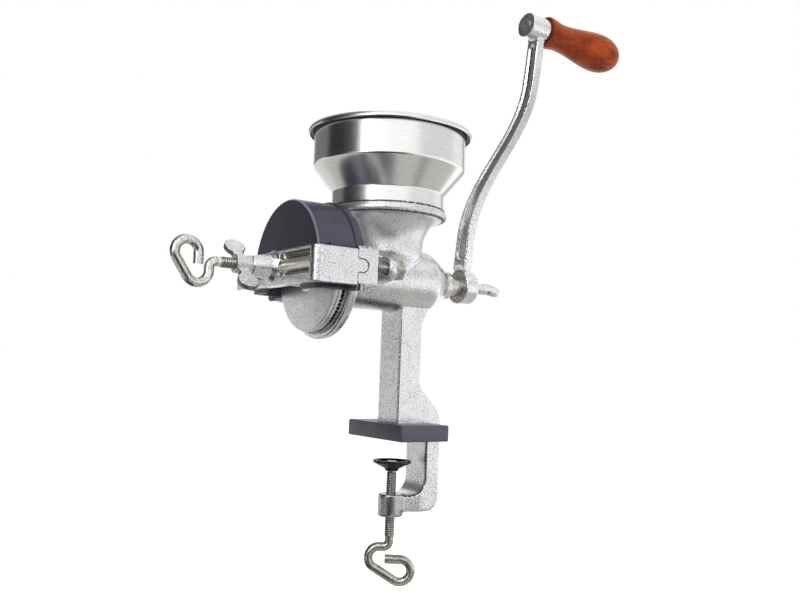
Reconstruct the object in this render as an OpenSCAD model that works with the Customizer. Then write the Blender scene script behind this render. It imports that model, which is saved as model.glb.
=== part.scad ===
// Hand-cranked corn grinder that clamps to the edge of a table.
// +Z is up. The shaft runs along Y: the burr discs and the adjusting screw are at -Y,
// the crank is at +Y. The origin is the middle of the pad's underside, where it
// rests on the table.

/* [Hopper] */
// Diameter of the hopper over its curled rim
hopper_rim_d = 145; // [142:0.5:149]
// Diameter of the hopper's upper, straight part
hopper_d = 133.5; // [126:0.5:136]
// Diameter of the neck that plugs into the casting's collar
hopper_neck_d = 98.4; // [92:0.2:104]
// Height of the straight part with its rim
hopper_bowl_h = 32; // [26:1:50]
// Height of the conical part
hopper_cone_h = 23.7; // [18:0.1:30]
// Height of the neck
hopper_neck_h = 18.4; // [14:0.1:30]
// Thickness of the stainless sheet
sheet_t = 1.2; // [0.8:0.1:2]

/* [Throat] */
// Height of the collar's seat for the hopper above the shaft's axis
seat_h = 56; // [54:0.5:64]
// Depth of the collar round the hopper's neck
collar_h = 5.6; // [4:0.2:10]
// Wall of the collar
collar_wall = 2.6; // [2:0.1:5]
// Outer diameter of the throat where it is narrowest
throat_d = 64; // [60:1:68]
// Diameter of the hole that feeds the auger
feed_d = 42; // [34:1:43]

/* [Barrel] */
// Height of the shaft's axis above the table
shaft_h = 138; // [132:1:160]
// Distance from the pad's middle to the hopper's axis, towards the burrs
hopper_back = 19.5; // [17:0.5:22]
// Outer diameter of the barrel
barrel_d = 56; // [54:1:60]
// Bore of the barrel
barrel_bore_d = 44; // [43:0.5:47]
// Distance from the hopper's axis to the flange's back face
flange_back = 58; // [56:1:64]
// Thickness of the flange
flange_t = 8; // [6:0.5:10]
// Diameter of the flange
flange_d = 111.4; // [110:0.2:112]
// Distance from the hopper's axis to the end of the nose bearing
nose_end = 68.5; // [66:0.5:72]
// Diameter of the nose bearing
nose_d = 26; // [24:0.5:30]
// Distance from the hopper's axis to the bottom of the barrel's bore
bore_end = 42; // [38:1:46]

/* [Burr discs] */
// Diameter of the burr discs
burr_d = 100; // [94:1:102]
// Thickness of each burr disc
burr_t = 4; // [3:0.5:5]
// Depth of the stationary disc's seat in the flange
burr_seat = 2; // [1:0.5:3]
// Gap between the two discs at rest
grind_gap = 0.3; // [0.2:0.1:1]
// Sectors of grooves on each disc
groove_sectors = 12; // [8:1:15]
// Width of a groove
groove_w = 1.7; // [1.5:0.1:2.6]
// Depth of a groove
groove_deep = 1.4; // [0.8:0.1:1.8]
// Thickness of the rotating disc's carrier
carrier_t = 4; // [3:0.5:5]
// Diameter of the carrier's hub
carrier_hub_d = 27; // [24:0.5:32]
// Length of the carrier's hub in front of its plate
carrier_hub_l = 12.7; // [12:0.1:14]
// Diameter of the ball between the screw and the carrier
ball_d = 8; // [7:0.5:9]

/* [Auger and shaft] */
// Diameter of the auger over its flight
auger_d = 42; // [38:0.5:42.5]
// Diameter of the auger's core
auger_core_d = 18; // [16:0.5:22]
// Turns of the auger's flight
auger_turns = 3.25; // [2:0.25:4]
// Thickness of the auger's flight
flight_t = 7; // [5:0.5:10]
// Diameter of the shaft in the nose bearing
shaft_d = 17.4; // [17.2:0.1:19]
// Width across the flats of the shaft's square ends
square_w = 12; // [11:0.1:12.1]
// Thickness of the thrust washer
thrust_washer_t = 2; // [1:0.5:3]

/* [Yoke] */
// Width of the yoke over its two arms
yoke_w = 144.6; // [143:0.2:148]
// Thickness of the yoke's arms
yoke_t = 10.3; // [9.5:0.1:11]
// Height of the yoke above the shaft's axis
yoke_up = 12.7; // [11:0.1:14]
// Depth of the yoke below the shaft's axis
yoke_down = 15.1; // [14:0.1:17]
// Distance from the hopper's axis to the yoke's front face
yoke_front = 109; // [108:0.5:112]
// Distance from the hopper's axis to the ends of the yoke's arms
yoke_arm_end = 71; // [70:0.5:73]
// Outer radius of the yoke's corners
yoke_corner_r = 7; // [4:0.5:9]
// Length of the screw's boss in front of the yoke
boss_l = 19; // [14:1:24]
// Diameter of the boss at its end
boss_end_d = 15.5; // [14:0.5:18]

/* [Hinge] */
// Diameter of the hinge pins
pin_d = 6; // [4:0.5:7]
// Diameter of the hinge bolts
hinge_bolt_d = 9; // [7:0.5:9.5]
// Height of the tongues on the yoke's arms
tongue_h = 10.3; // [8:0.1:13]
// Distance from the hopper's axis to the front face of the ears
ear_front = 44; // [42:0.5:46]
// Thickness of the ears
ear_t = 7; // [6:0.5:9]
// Width across the flats of the hinge nuts
nut_w = 15; // [13:0.5:16]

/* [Cover] */
// Outer radius of the cover
cover_r = 57.3; // [56.8:0.1:58.5]
// Wall of the cover
cover_wall = 2.4; // [2:0.1:3]
// Depth of the cover below the shaft's axis
cover_down = 18.5; // [15:0.5:24]
// Radius of the cover's front edge
cover_edge_r = 3; // [2.5:0.1:4]
// Width of the arched opening in the cover's front
cover_arch_w = 58; // [44:1:62]

/* [Screws with loop handles] */
// Diameter of the loop-handled screws
screw_d = 9; // [8:0.1:9.2]
// Diameter of the rod in the loops
rod_d = 8; // [7:0.1:8.4]
// Radius of the loop's two round ends
loop_r = 9.5; // [8.5:0.5:11]
// Distance from the screw's axis to the loop's first round end
loop_near = 8; // [6:0.5:12]
// Distance from the screw's axis to the adjusting loop's second round end
adjusting_loop_far = 5.5; // [5:0.5:12]
// Distance from the screw's axis to the clamp loop's second round end
clamp_loop_far = 10; // [6:0.5:13]
// Gap between the adjusting loop's two rod ends
adjusting_rod_gap = 1; // [0.6:0.1:3]
// Gap between the clamp loop's two rod ends
clamp_rod_gap = 2.5; // [0.6:0.1:3]
// Distance from the boss's end to the first bend of the adjusting screw
adjusting_out = 34; // [31:1:37]

/* [Wing lock nut] */
// Diameter of the nut's hub
wing_hub_d = 15.4; // [14:0.2:18]
// Length of the nut's hub
wing_hub_l = 13.5; // [11:0.5:15]
// Diameter of the paddles
paddle_d = 17; // [14:0.5:19]
// Distance from the axis to the paddles' middle
paddle_out = 21; // [18:0.5:24]
// Thickness of the paddles
paddle_t = 4.4; // [3:0.2:6]
// Angle at which the nut's paddles rest
wing_turn = 46; // [-90:1:90]

/* [Crank] */
// Distance from the shaft's axis to the grip's axis
crank_l = 252.5; // [230:0.5:275]
// Sideways offset of the crank's upper end
crank_offset = 56; // [40:0.5:60]
// Width of the arm at the hub
arm_w = 18; // [16:0.5:22]
// Width of the arm at the grip
arm_top_w = 14.5; // [12:0.5:18]
// Thickness of the arm
arm_t = 9; // [7:0.5:11]
// Depth of the channel along the arm
channel_deep = 2.4; // [1:0.2:3]
// Width of the lip on each side of the channel
channel_lip = 3.4; // [2.5:0.1:4.5]
// Diameter of the hub
hub_d = 31; // [29:0.5:34]
// Length of the hub
hub_l = 15; // [13:0.5:20]
// Distance from the nose bearing to the hub
hub_gap = 11.8; // [4:0.2:16]
// Angle by which the grip droops from square to the crank
grip_droop = 3; // [0:0.5:5]
// Length of the thumb screw's head
thumb_l = 32; // [26:1:36]
// Diameter of the boss that carries the grip
crank_boss_d = 23; // [20:0.5:26]
// Length of the boss that carries the grip
crank_boss_l = 23; // [18:0.5:26]
// Angle by which the crank leans from upright
crank_lean = 8; // [-60:1:60]

/* [Grip] */
// Length of the grip
grip_l = 99; // [88:1:115]
// Diameter of the grip at the boss
grip_end_d = 29.5; // [26:0.5:32]
// Diameter of the grip's neck
grip_neck_d = 25.5; // [22:0.5:28]
// Diameter of the grip's bulb
grip_bulb_d = 36.6; // [32:0.5:40]
// Diameter of the grip's steel pin
grip_pin_d = 8; // [6:0.5:10]

/* [Post and clamp] */
// Width of the post and of the clamp's arm
post_w = 32; // [28:1:36]
// Thickness of the post, along the shaft
post_t = 22; // [18:0.5:24]
// Thickness of the clamp's arm
arm_back_t = 14.4; // [12:0.2:18]
// Distance from the pad's underside to the clamp's lower arm
clamp_h = 48.5; // [40:0.5:70]
// Diameter of the clamp's threaded boss
clamp_boss_d = 22; // [19:0.5:26]
// Height of the clamp's threaded boss
clamp_boss_h = 19.6; // [16:0.2:26]
// Gap between the pad and the clamp's cup at rest
table_gap = 19; // [12:0.5:24]
// Diameter of the clamp's cup
cup_d = 33; // [28:0.5:38]
// Height of the clamp's cup
cup_h = 9; // [7:0.5:11]
// Distance from the clamp's boss to the first bend of the clamp screw
clamp_screw_out = 26; // [24:1:30]
// Angle at which the clamp screw's loop rests
clamp_screw_turn = 56; // [0:1:180]

/* [Table pad] */
// Width of the pad
pad_w = 85; // [78:1:100]
// Length of the pad, along the shaft
pad_l = 49.5; // [46:0.5:60]
// Thickness of the pad
pad_t = 14; // [12:0.5:18]
// Thickness of the casting's foot plate inside the pad
foot_t = 5; // [4:0.5:6]

/* [Fits] */
// Radial clearance of what turns in a bore
running = 0.05; // [0.02:0.01:0.1]
// Clearance beside what slides or is dropped in
easy = 0.25; // [0.2:0.05:0.4]

/* [Hidden] */
$fn = 72;
eps = 0.01;
cut = 1;

// Stations along the shaft, measured from the hopper's axis
flange_front = -(flange_back + flange_t);
still_back = flange_front + burr_seat;
still_front = still_back - burr_t;
turn_back = still_front - grind_gap;
turn_front = turn_back - burr_t;
carrier_front = turn_front - carrier_t;
hub_front = carrier_front - carrier_hub_l;
ball_y = hub_front;
yoke_y = -yoke_front;
yoke_back = yoke_y + yoke_t - 0.3;
boss_end = yoke_y - boss_l;
tip_y = ball_y - ball_d / 2;
arm_end = -yoke_arm_end;
ear_y = -ear_front;
cover_front = yoke_back + 1;
cover_back = -flange_back + 1;
crank_y = nose_end + hub_gap;
hub_back = crank_y + hub_l;

// Radii that several pieces share
barrel_r = barrel_d / 2;
collar_in_r = hopper_neck_d / 2 + easy;
collar_r = collar_in_r + collar_wall;
hinge_x = yoke_w / 2 - yoke_t / 2;
lug_r = 3;
lug_h = 1.6;
lug_out = burr_d * 0.38;
register_r = 15.5;
spindle_deep = 11.5;

// Heights and places of the clamp, measured from the pad's underside
post_front = hopper_back - 11;
arm_front = pad_l / 2 + hopper_back - 4;
screw_y = hopper_back - 4.3;
thread_pitch = 1.5;
cup_z = -table_gap;
boss_top = 1;

function arc(x, y, r, a, b, n = 12) =
    [for (i = [0 : n]) [x + r * cos(a + (b - a) * i / n), y + r * sin(a + (b - a) * i / n)]];

// Places a piece that is drawn round the crossing of the shaft's and the hopper's axes
module at_mill() translate([0, -hopper_back, shaft_h]) children();

// Places a piece that is drawn under the hopper's axis, from the table up
module at_table() translate([0, -hopper_back, 0]) children();

// Turns an outline of [radius, station] about the shaft's axis
module about_shaft() rotate([-90, 0, 0]) rotate_extrude() children();

// A round bar along the shaft from one station to another
module bar(y0, y1, r) translate([0, y0, 0]) rotate([-90, 0, 0]) cylinder(h = y1 - y0, r = r);

// A square bar along the shaft
module square_bar(y0, y1, w) translate([-w / 2, y0, -w / 2]) cube([w, y1 - y0, w]);

// Extrudes an outline of [station, height] across the machine
module across(w) rotate([90, 0, 90]) linear_extrude(height = w, center = true) children();

// Extrudes an outline of [sideways, height] from one station to another
module along(y0, y1) translate([0, y1, 0]) rotate([90, 0, 0]) linear_extrude(height = y1 - y0) children();

module both_sides() {
    children();
    mirror([1, 0, 0]) children();
}

// Casting: barrel with its flange and nose bearing
module barrel_outside() {
    nose_r = nose_d / 2;
    bulge = 16;
    fillet = 6;
    about_shaft() polygon(concat(
        [[0, flange_front], [flange_d / 2 - 1, flange_front], [flange_d / 2, flange_front + 1]],
        [[flange_d / 2, -flange_back - 1], [flange_d / 2 - 1, -flange_back]],
        arc(barrel_r + fillet, -flange_back + fillet, fillet, 270, 180, 6),
        arc(barrel_r - bulge, nose_end - 34, bulge, 0, 33, 5),
        [[nose_r + 7, nose_end - 16.8], [nose_r + 2.3, nose_end - 10.9], [nose_r, nose_end - 7.5]],
        [[nose_r, nose_end - 1.5], [nose_r - 1.5, nose_end], [0, nose_end]]));
}

// Casting: the throat, flared out to the collar that holds the hopper
module throat_outside() {
    r = throat_d / 2;
    flare = 30;
    rotate_extrude() polygon(concat(
        [[0, 0], [barrel_r - 3, 0], [r, 20]],
        arc(r + flare, seat_h - 27.8, flare, 180, 128.6, 8),
        [[collar_r - 0.8, seat_h - 3], [collar_r, seat_h - 2.2], [collar_r, seat_h + 1.2]],
        [[collar_r - 0.8, seat_h + 2], [collar_in_r + 1, seat_h + collar_h], [0, seat_h + collar_h]]));
}

module throat_inside() {
    r = feed_d / 2;
    lip = collar_in_r - 2.8;
    flare = 26;
    rotate_extrude() polygon(concat(
        [[0, 0], [r, 0]],
        arc(r + flare, seat_h - 30, flare, 180, 122, 8),
        [[lip, seat_h - 0.4], [lip, seat_h], [collar_in_r, seat_h], [collar_in_r, seat_h + collar_h + cut]],
        [[0, seat_h + collar_h + cut]]));
}

// Casting: the post with its gusset at the top and its foot swept back at the bottom
module post() {
    front = post_front;
    back = front + post_t;
    outer = arm_front + arm_back_t;
    sweep = 34;
    foot_r = 18;
    heel_r = 14;
    across(post_w) polygon(concat(
        [[front, pad_t - foot_t - 4], [front, shaft_h - 8], [back + sweep * 0.55, shaft_h - 8]],
        arc(back + sweep, shaft_h - 46, sweep, 118, 180, 10),
        arc(back + heel_r, pad_t + 38, heel_r, 180, 225, 5),
        arc(outer - foot_r, pad_t, foot_r, 45, 0, 6),
        [[outer, pad_t - foot_t - 4]]));
}

// Casting: the clamp's arm, bent under the table to the threaded boss
module clamp_arm() {
    outer = arm_front + arm_back_t;
    outer_r = 12;
    inner_r = 13;
    low = -clamp_h - arm_back_t + 0.4;
    boss_r = clamp_boss_d / 2;
    intersection() {
        across(post_w) polygon(concat(
            [[outer, pad_t]],
            arc(outer - outer_r, low + outer_r, outer_r, 0, -90, 8),
            [[screw_y, low], [screw_y, -clamp_h]],
            arc(arm_front - inner_r, -clamp_h + inner_r, inner_r, -90, 0, 8),
            [[arm_front, pad_t]]));
        translate([0, 0, low - cut]) linear_extrude(height = pad_t - low + 2 * cut) polygon([
            [-post_w / 2, outer + cut], [-post_w / 2, arm_front - 4], [-boss_r, screw_y + 6], [-boss_r, screw_y],
            [boss_r, screw_y], [boss_r, screw_y + 6], [post_w / 2, arm_front - 4], [post_w / 2, outer + cut]]);
    }
    translate([0, screw_y, -clamp_h + boss_top - clamp_boss_h]) cylinder(h = clamp_boss_h, r = boss_r);
}

// Casting: the ear on each side that a hinge bolt passes through
module ears() {
    tip_r = hinge_bolt_d / 2 + 5;
    both_sides() along(ear_y, ear_y + ear_t) {
        translate([hinge_x, 0]) circle(r = tip_r);
        polygon([[barrel_r * 0.7, -15], [hinge_x, -tip_r], [hinge_x, tip_r], [barrel_r * 0.7, 15]]);
    }
}

module foot_plate() {
    w = pad_w - 13;
    translate([-w / 2, hopper_back - pad_l / 2 + 4.4, pad_t - foot_t - 4])
        cube([w, arm_front - hopper_back + pad_l / 2 - 4.4, foot_t]);
}

module body() color("lightgray") {
    difference() {
        union() {
            at_mill() barrel_outside();
            at_mill() throat_outside();
            at_mill() ears();
            at_table() post();
            at_table() clamp_arm();
            at_table() foot_plate();
        }
        at_mill() {
            bar(flange_front - cut, bore_end, barrel_bore_d / 2);
            bar(bore_end - cut, nose_end + cut, shaft_d / 2 + running);
            bar(flange_front - cut, still_back, burr_d / 2 + easy);
            burr_lugs(still_back - eps, still_back + lug_h + easy, lug_r + easy);
            throat_inside();
            both_sides() translate([hinge_x, 0, 0]) bar(ear_y - cut, ear_y + ear_t + cut, hinge_bolt_d / 2 + easy);
        }
        at_table() translate([0, screw_y, -clamp_h - clamp_boss_h])
            cylinder(h = clamp_boss_h + 2 * cut, r = screw_d / 2 + running);
    }
}

// Hopper: spun sheet, with a rim curled outwards, a straight bowl, a cone and a neck
module hopper() color("silver") at_mill() translate([0, 0, seat_h]) {
    neck = hopper_neck_d / 2;
    bowl = hopper_d / 2;
    top = hopper_neck_h + hopper_cone_h + hopper_bowl_h;
    shoulder = hopper_neck_h + hopper_cone_h;
    bend = 5;
    t = sheet_t;
    curl = (hopper_rim_d / 2 - bowl + t) / 2;
    curl_x = hopper_rim_d / 2 - curl;
    slope = atan2(hopper_cone_h, bowl - neck);
    rotate_extrude() polygon(concat(
        [[neck - t, 0], [neck, 0], [neck, hopper_neck_h]],
        arc(bowl - bend, shoulder, bend, slope - 90, 0, 6),
        arc(curl_x, top - curl, curl - t, 180, -30, 10),
        arc(curl_x, top - curl, curl, -30, 180, 14),
        arc(bowl - bend, shoulder, bend - t, 0, slope - 90, 6),
        [[neck - t, hopper_neck_h + t / 2]]));
}

// The lugs on a burr disc's back that keep it from turning
module burr_lugs(y0, y1, r) for (i = [0 : 2]) rotate([0, i * 120 + 30, 0])
    translate([lug_out, 0, 0]) bar(y0, y1, r);

// The grooves in a burr disc's face: in each sector they are parallel and each is
// shorter than the one before it
module burr_grooves(face_y, deep, hole_r) {
    sector = 360 / groove_sectors;
    step = 2 * groove_w;
    last = floor(burr_d / 2 * sin(sector) / step) - 1;
    for (s = [0 : groove_sectors - 1], g = [0 : last]) rotate([0, s * sector, 0])
        translate([max(hole_r + 3, (g * step + groove_w) / tan(sector) + 1.5), face_y, g * step])
            cube([burr_d / 2, deep, groove_w]);
}

module burr_ring(y0, y1, hole_r) difference() {
    bar(y0, y1, burr_d / 2);
    bar(y0 - cut, y1 + cut, hole_r);
}

module stationary_burr() color("gainsboro") at_mill() {
    hole_r = barrel_bore_d / 2;
    difference() {
        burr_ring(still_front, still_back, hole_r);
        translate([0, -cut, 0]) burr_grooves(still_front, groove_deep + cut, hole_r);
    }
    burr_lugs(still_back - 0.5, still_back + lug_h, lug_r);
}

module rotating_burr() color("gainsboro") at_mill() {
    hole_r = register_r + easy;
    difference() {
        burr_ring(turn_front, turn_back, hole_r);
        mirror([1, 0, 0]) burr_grooves(turn_back - groove_deep, groove_deep + cut, hole_r);
    }
    burr_lugs(turn_front - lug_h, turn_front + 0.5, lug_r);
}

// Carrier: a plate with a rounded edge, a hub for the screw's ball and a register for the disc
module burr_carrier() color("lightgray") at_mill() difference() {
    hub_r = carrier_hub_d / 2;
    r = burr_d / 2;
    fillet = 4;
    about_shaft() polygon(concat(
        [[0, hub_front], [hub_r - 1.5, hub_front], [hub_r, hub_front + 1.5]],
        arc(hub_r + fillet, carrier_front - fillet, fillet, 180, 90, 5),
        arc(r - 1.5, carrier_front + 1.5, 1.5, -90, 0, 4),
        [[r, turn_front], [register_r, turn_front], [register_r, turn_back], [0, turn_back]]));
    square_bar(turn_back - spindle_deep - 2, turn_back + cut, square_w + 2 * easy);
    bar(hub_front - cut, hub_front + ball_d / 2 + running, ball_d / 2 + running);
    burr_lugs(turn_front - lug_h - easy, turn_front + eps, lug_r + easy);
}

// Auger: a core with a left-handed flight, a square spindle in front and the shaft behind
module auger() color("silver") at_mill() {
    core_r = auger_core_d / 2;
    first = still_front + 1;
    shoulder = bore_end - thrust_washer_t;
    flight_l = shoulder - 6 - first;
    difference() {
        union() {
            square_bar(turn_back - spindle_deep, first + 1, square_w);
            bar(first, shoulder, core_r);
            bar(shoulder - 5, shoulder, shaft_d / 2 + 4);
            bar(shoulder - eps, crank_y, shaft_d / 2);
            rotate([0, crank_lean, 0]) square_bar(crank_y - eps, hub_back - 0.5, square_w);
        }
        bar(crank_y - 8, hub_back, crank_thread_r + running);
    }
    translate([0, first, 0]) rotate([-90, 0, 0])
        linear_extrude(height = flight_l, twist = 360 * auger_turns, slices = 24 * auger_turns, segments = 4)
            auger_section(360 * auger_turns * flight_t / flight_l);
}

// The flight cut square to the shaft: a blade that is wide at the core and narrow at the tip
module auger_section(root_a) {
    tip_a = root_a * 0.45;
    steps = 4;
    r0 = auger_core_d / 2 - 2;
    r1 = auger_d / 2;
    polygon(concat(
        [for (i = [0 : steps]) let (a = -root_a / 2 + root_a * i / steps) [r0 * cos(-a), r0 * sin(-a)]],
        [for (i = [0 : steps]) let (a = -tip_a / 2 + tip_a * i / steps) [r1 * cos(a), r1 * sin(a)]]));
}
crank_thread_r = 4;

module thrust_washer() color("gray") at_mill() difference() {
    bar(bore_end - thrust_washer_t, bore_end, shaft_d / 2 + 4);
    bar(bore_end - thrust_washer_t - cut, bore_end + cut, shaft_d / 2 + easy);
}

module thrust_ball() color("dimgray") at_mill() translate([0, ball_y, 0]) sphere(r = ball_d / 2);

// Yoke: seen from above it is a U with round corners
module yoke_plan() {
    w = yoke_w / 2;
    in_w = w - yoke_t;
    r = yoke_corner_r;
    in_r = 4;
    polygon(concat(
        [[w, arm_end]],
        arc(w - r, yoke_y + r, r, 0, -90, 6),
        arc(-w + r, yoke_y + r, r, 270, 180, 6),
        [[-w, arm_end], [-in_w, arm_end]],
        arc(-in_w + in_r, yoke_back + in_r, in_r, 180, 270, 4),
        arc(in_w - in_r, yoke_back + in_r, in_r, -90, 0, 4),
        [[in_w, arm_end]]));
}

module yoke() color("whitesmoke") at_mill() {
    recess = 5;
    rib_r = 5.4;
    inner = 13;
    outer = yoke_w / 2 - yoke_corner_r - 1.5;
    floor_y = yoke_y + recess;
    difference() {
        union() {
            difference() {
                translate([0, 0, -yoke_down]) linear_extrude(height = yoke_up + yoke_down) yoke_plan();
                both_sides() translate([inner, yoke_y - cut, -yoke_down + 7])
                    cube([outer - inner, recess + cut, yoke_up + yoke_down - 9.4]);
            }
            both_sides() translate([inner - 1, floor_y, 0.5]) rotate([0, 90, 0])
                cylinder(h = outer - inner + 1.5, r = rib_r);
            about_shaft() polygon([[0, boss_end], [boss_end_d / 2 - 0.6, boss_end], [boss_end_d / 2, boss_end + 0.6],
                [boss_end_d / 2 + 2.6, yoke_y - 4], [inner + 1, yoke_y + 1], [inner + 1, yoke_back], [0, yoke_back]]);
            both_sides() tongue();
        }
        bar(boss_end - cut, yoke_back + cut, screw_d / 2 + running);
        both_sides() translate([hinge_x, pin_y, -tongue_h]) cylinder(h = 2 * tongue_h, r = pin_d / 2 + running);
    }
}
tongue_y = arm_end + 9.2;
pin_y = arm_end + 4.6;

// The tongue on an arm's end: seen from the side its own end is round
module tongue(play = 0) {
    r = tongue_h / 2 + play;
    translate([hinge_x, 0, 0]) across(yoke_t + play) {
        translate([tongue_y - tongue_h / 2, 0]) circle(r = r);
        translate([arm_end - 2, -r]) square([tongue_y - tongue_h / 2 - arm_end + 2, 2 * r]);
    }
}

// Hinge bolts: a forked head that takes the yoke's tongue, and a threaded shank. The bolt on
// the far side has a longer lower jaw that carries the yoke's arm.
head_back = arm_end + 18;
head_up = 14;
jaw_down = 22;
jaw_front = arm_end - 5.4;
module hinge_bolts() color("lightgray") at_mill() difference() {
    union() {
        both_sides() translate([hinge_x - yoke_t / 2, arm_end + easy, -head_up])
            cube([yoke_t, head_back - arm_end - easy, 2 * head_up]);
        both_sides() translate([hinge_x, 0, 0]) bar(head_back - 1, ear_y + ear_t + 11, hinge_bolt_d / 2);
        translate([-hinge_x, 0, 0]) across(yoke_t) polygon(concat(
            [[head_back, -head_up + 1], [arm_end + easy, -head_up + 1], [arm_end + easy, -yoke_down - easy]],
            [[jaw_front, -yoke_down - easy]],
            arc(jaw_front + 3, -jaw_down + 3, 3, 180, 270, 4),
            [[head_back - 4, -jaw_down], [head_back, -jaw_down + 4]]));
    }
    both_sides() tongue(0.35);
    both_sides() translate([hinge_x, pin_y, -jaw_down - cut])
        cylinder(h = jaw_down + head_up + 2 * cut, r = pin_d / 2 + running);
}

module hinge_pins() color("silver") at_mill() both_sides() translate([hinge_x, pin_y, 0]) {
    translate([0, 0, -head_up - 5.5]) cylinder(h = 2 * head_up + 6, r = pin_d / 2);
    translate([0, 0, head_up]) cylinder(h = 1.4, r = pin_d / 2 + 1);
}

module hinge_nuts() color("silver") at_mill() both_sides() translate([hinge_x, 0, 0]) difference() {
    translate([0, ear_y + ear_t, 0]) rotate([-90, 0, 0]) cylinder(h = 8, r = nut_w / sqrt(3), $fn = 6);
    bar(ear_y + ear_t - cut, ear_y + ear_t + 8 + cut, hinge_bolt_d / 2 + running);
}

// Cover: the outline of its wall from the front to the stepped rim at the back
module cover_wall_outline(from_r) {
    out_r = cover_r;
    in_r = cover_r - cover_wall;
    rim_in = flange_d / 2 + 0.4;
    rim_r = rim_in + cover_wall + 0.4;
    edge = cover_edge_r;
    step_y = flange_front - 0.4;
    polygon(concat(
        [[from_r, cover_front]],
        arc(out_r - edge, cover_front + edge, edge, -90, 0, 5),
        [[out_r, step_y + 2], [rim_r, step_y + 3], [rim_r, cover_back], [rim_in, cover_back]],
        [[rim_in, step_y], [in_r, step_y], [in_r, cover_front + cover_wall], [from_r, cover_front + cover_wall]]));
}

module cover() color("darkslategray") at_mill() {
    arch_r = cover_arch_w / 2;
    in_r = cover_r - cover_wall;
    lip = 1.5;
    ledge_x = sqrt(in_r * in_r - yoke_up * yoke_up) + 1;
    difference() {
        union() {
            rotate([-90, 0, 0]) rotate_extrude(angle = -180) cover_wall_outline(0);
            both_sides() translate([0, 0, -cover_down]) linear_extrude(height = cover_down) cover_wall_outline(0);
            both_sides() translate([ledge_x, cover_front + 6, yoke_up])
                cube([hinge_x - 2 - ledge_x, arm_end - cover_front - 6, 3.4]);
            both_sides() translate([cover_r - 1, cover_front + 3, -cover_down])
                cube([lip + 1, flange_front - cover_front - 3, 2]);
        }
        along(cover_front - cut, cover_front + cover_wall + cut) cover_arch(arch_r);
    }
}

// The opening in the cover's front: a round arch whose feet are flared
module cover_arch(r) {
    foot = 3;
    translate([0, -cover_down]) intersection() {
        circle(r = r);
        translate([-r, -cut]) square([2 * r, r + cut]);
    }
    polygon([[-r - foot, -cover_down - cut], [-r - foot, -cover_down], [-r, -cover_down + foot],
        [r, -cover_down + foot], [r + foot, -cover_down], [r + foot, -cover_down - cut]]);
}

// Loop handle: the rod leaves the screw sideways, turns round twice and ends beside its own
// start. It is drawn in the plane of X and Y with the screw arriving from -X. The straight
// runs are a hair thicker than the bends and reach a little into them.
module loop_handle(far_out, gap) {
    bend = 5;
    back_x = rod_d + gap;
    far = [loop_r + back_x, far_out];
    near = [loop_r, -loop_near];
    tilt = atan2(back_x, loop_near + far_out);
    side = loop_r * [cos(tilt), -sin(tilt)];
    rod_bend([-bend, -bend], bend, 0, 90);
    rod_run([0, -bend], [0, -loop_near]);
    rod_bend(near, loop_r, 180, 180 - tilt);
    rod_run(near + side, far + side);
    rod_bend(far, loop_r, -tilt, 180 + tilt);
    rod_run(far - [loop_r, 0], [back_x, -3]);
}

module rod_bend(middle, r, start, sweep) translate([middle[0], middle[1], 0]) rotate([0, 0, start])
    rotate_extrude(angle = sweep) translate([r, 0]) circle(r = rod_d / 2 - 0.08);

module rod_run(from, to, reach = 0.3) {
    way = to - from;
    translate([from[0], from[1], 0]) rotate([0, 90, atan2(way[1], way[0])]) translate([0, 0, -reach])
        cylinder(h = norm(way) + 2 * reach, r = rod_d / 2);
}

module adjusting_screw() color("silver") at_mill() {
    bend = 5;
    end = boss_end - adjusting_out;
    bar(end + bend, tip_y, screw_d / 2);
    translate([0, end, 0]) rotate([90, 0, -90]) loop_handle(adjusting_loop_far, adjusting_rod_gap);
}

// Wing nut: a hub with two arms that end in round paddles
module lock_nut() color("whitesmoke") at_mill() difference() {
    top = boss_end;
    web = 9;
    union() {
        bar(top - wing_hub_l, top, wing_hub_d / 2);
        rotate([0, -wing_turn, 0]) for (side = [0, 180]) rotate([0, side, 0]) translate([0, top - 7.5, 0]) {
            translate([0, 0, paddle_out]) rotate([0, 90, 0])
                cylinder(h = paddle_t, r = paddle_d / 2, center = true);
            translate([-paddle_t / 2, -web / 2, 2]) cube([paddle_t, web, paddle_out - 4]);
        }
    }
    bar(top - wing_hub_l - cut, top + cut, screw_d / 2 + running);
}

// Crank arm: the station of its middle line at a distance from the shaft
bend_from = 46;
bend_to = 203;
function arm_y(r) = let (s = min(1, max(0, (r - bend_from) / (bend_to - bend_from))))
    crank_y + arm_t / 2 - 1.2 + crank_offset * (1 - cos(180 * s)) / 2;
function arm_line(from, to, side, n = 22) = [for (i = [0 : n]) let (r = from + (to - from) * i / n) [arm_y(r) + side, r]];

// A band that follows the arm's middle line
module arm_band(from, to, front, back, w)
    across(w) polygon(concat(arm_line(from, to, front), arm_line(to, from, back)));

module arm_outline(from, to, w0, w1) {
    polygon([[-w0 / 2, from], [w0 / 2, from], [w1 / 2, to], [-w1 / 2, to]]);
    translate([0, from]) circle(r = w0 / 2);
    translate([0, to]) circle(r = w1 / 2);
}

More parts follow.
